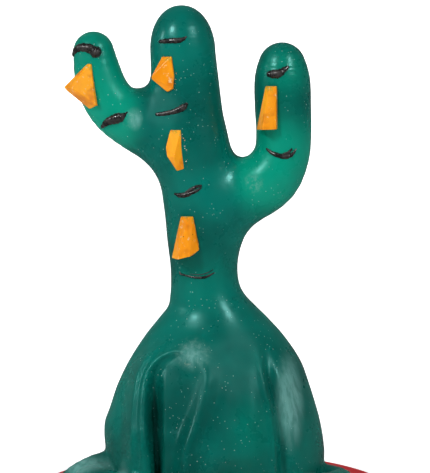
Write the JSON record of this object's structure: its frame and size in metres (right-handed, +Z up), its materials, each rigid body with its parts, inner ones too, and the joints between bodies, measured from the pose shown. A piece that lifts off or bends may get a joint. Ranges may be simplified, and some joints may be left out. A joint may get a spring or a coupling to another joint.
{
  "type": "rainstick",
  "caption": "Cactus-shaped rainstick: a hollow glossy casting on a round base, holding a leaning tube with a helix of pins and loose grains that trickle when it is turned over.",
  "frame": {"origin": "centre of the base's underside, on the surface the figure stands on", "axes": "+Z up through the figure, -Y is the side its faces look to, +X is to the right of a viewer who faces it"},
  "size_m": [0.226, 0.226, 0.3104],
  "materials": {
    "green_casting": "glossy, slightly translucent dark green casting with soft wax-like depth",
    "orange_nose": "hand-cut satin orange wedges with rubbed edges and small specks",
    "black_line": "raised glossy black beads",
    "red_base": "glossy red",
    "plug_wood": "plain birch plywood",
    "steel": "zinc-plated",
    "felt": "dark pressed felt",
    "tube_card": "spiral-wound card",
    "cap_plastic": "moulded black",
    "foam": "open-cell foam",
    "brass_pin": "bright wire",
    "grain": "dry natural grains"
  },
  "bodies": {
    "figure": {"base_disc": "red_base", "base_plug": "plug_wood", "base_screw_1": "steel", "base_screw_2": "steel", "base_screw_3": "steel", "base_screw_4": "steel", "cactus_body": "green_casting", "eyelid_left_arm": "black_line", "eyelid_right_arm": "black_line", "eyelid_trunk_lower": "black_line", "eyelid_trunk_middle": "black_line", "eyelid_trunk_top": "black_line", "felt_pad": "felt", "lips_left_arm": "black_line", "lips_right_arm": "black_line", "lips_trunk": "black_line", "nose_left_arm": "orange_nose", "nose_right_arm": "orange_nose", "nose_trunk_lower": "orange_nose", "nose_trunk_middle": "orange_nose", "nose_trunk_top": "orange_nose", "rain_pin_01": "brass_pin", "rain_pin_02": "brass_pin", "rain_pin_03": "brass_pin", "rain_pin_04": "brass_pin", "rain_pin_05": "brass_pin", "rain_pin_06": "brass_pin", "rain_pin_07": "brass_pin", "rain_pin_08": "brass_pin", "rain_pin_09": "brass_pin", "rain_pin_10": "brass_pin", "rain_pin_11": "brass_pin", "rain_pin_12": "brass_pin", "rain_pin_13": "brass_pin", "rain_pin_14": "brass_pin", "rain_pin_15": "brass_pin", "rain_pin_16": "brass_pin", "rain_pin_17": "brass_pin", "rain_pin_18": "brass_pin", "rain_pin_19": "brass_pin", "rain_pin_20": "brass_pin", "rain_tube": "tube_card", "tube_collar": "foam", "tube_lower_cap": "cap_plastic", "tube_upper_cap": "cap_plastic"},
    "grain_column_1": {"grain_column_1": "grain"},
    "grain_column_2": {"grain_column_2": "grain"},
    "grain_column_3": {"grain_column_3": "grain"},
    "grain_column_4": {"grain_column_4": "grain"},
    "grain_column_5": {"grain_column_5": "grain"},
    "grain_column_6": {"grain_column_6": "grain"},
    "grain_column_7": {"grain_column_7": "grain"},
    "grain_column_8": {"grain_column_8": "grain"}
  },
  "joints": [
    {"name": "grain_fall_1", "type": "slide", "parent": "figure", "child": "grain_column_1", "axis": [-0.0969, 0, 0.9953], "range_m": [0, 0.2]},
    {"name": "grain_fall_2", "type": "slide", "parent": "figure", "child": "grain_column_2", "axis": [-0.0969, 0, 0.9953], "range_m": [0, 0.2]},
    {"name": "grain_fall_3", "type": "slide", "parent": "figure", "child": "grain_column_3", "axis": [-0.0969, 0, 0.9953], "range_m": [0, 0.2]},
    {"name": "grain_fall_4", "type": "slide", "parent": "figure", "child": "grain_column_4", "axis": [-0.0969, 0, 0.9953], "range_m": [0, 0.2]},
    {"name": "grain_fall_5", "type": "slide", "parent": "figure", "child": "grain_column_5", "axis": [-0.0969, 0, 0.9953], "range_m": [0, 0.2]},
    {"name": "grain_fall_6", "type": "slide", "parent": "figure", "child": "grain_column_6", "axis": [-0.0969, 0, 0.9953], "range_m": [0, 0.2]},
    {"name": "grain_fall_7", "type": "slide", "parent": "figure", "child": "grain_column_7", "axis": [-0.0969, 0, 0.9953], "range_m": [0, 0.2]},
    {"name": "grain_fall_8", "type": "slide", "parent": "figure", "child": "grain_column_8", "axis": [-0.0969, 0, 0.9953], "range_m": [0, 0.2]}
  ]
}
